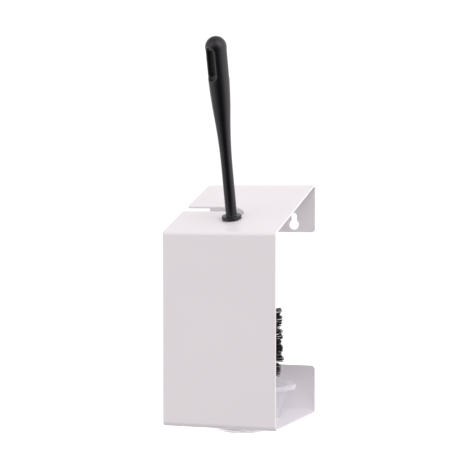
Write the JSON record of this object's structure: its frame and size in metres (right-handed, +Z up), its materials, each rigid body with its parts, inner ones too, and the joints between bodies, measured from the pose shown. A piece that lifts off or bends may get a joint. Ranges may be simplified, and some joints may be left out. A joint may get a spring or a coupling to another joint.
{
  "type": "toilet brush holder",
  "caption": "Wall-hung toilet brush holder bent from one steel strip, with a sloping slotted top, a removable drip cup and a round bristle brush.",
  "frame": {"origin": "on the wall plane, midway between the round entries of the two keyholes in the upper flange", "axes": "+Z up; +Y towards the wall, which is the plane Y = 0; +X to the right of someone facing the wall"},
  "size_m": [0.12, 0.1603, 0.4035],
  "materials": {
    "powder_coat": "satin powder coat on bent steel sheet",
    "cup_plastic": "translucent moulded polypropylene",
    "handle_plastic": "satin moulded polypropylene",
    "core_plastic": "moulded polypropylene",
    "bristle": "extruded nylon filament"
  },
  "bodies": {
    "holder": {"holder_body": "powder_coat"},
    "cup": {"drip_cup": "cup_plastic"},
    "brush": {"brush_handle": "handle_plastic", "brush_head_core": "core_plastic", "bristle_row_01": "bristle", "bristle_row_02": "bristle", "bristle_row_03": "bristle", "bristle_row_04": "bristle", "bristle_row_05": "bristle", "bristle_row_06": "bristle", "bristle_row_07": "bristle", "bristle_row_08": "bristle", "bristle_row_09": "bristle", "bristle_row_10": "bristle", "bristle_end_ring": "bristle", "bristle_end_tuft": "bristle"}
  },
  "joints": [
    {"name": "brush_lift", "type": "slide", "parent": "holder", "child": "brush", "axis": [0, -0.2639, 0.9646], "range_m": [0, 0.07]},
    {"name": "cup_lift", "type": "slide", "parent": "holder", "child": "cup", "axis": [0, 0, 1], "range_m": [0, 0.025]}
  ]
}
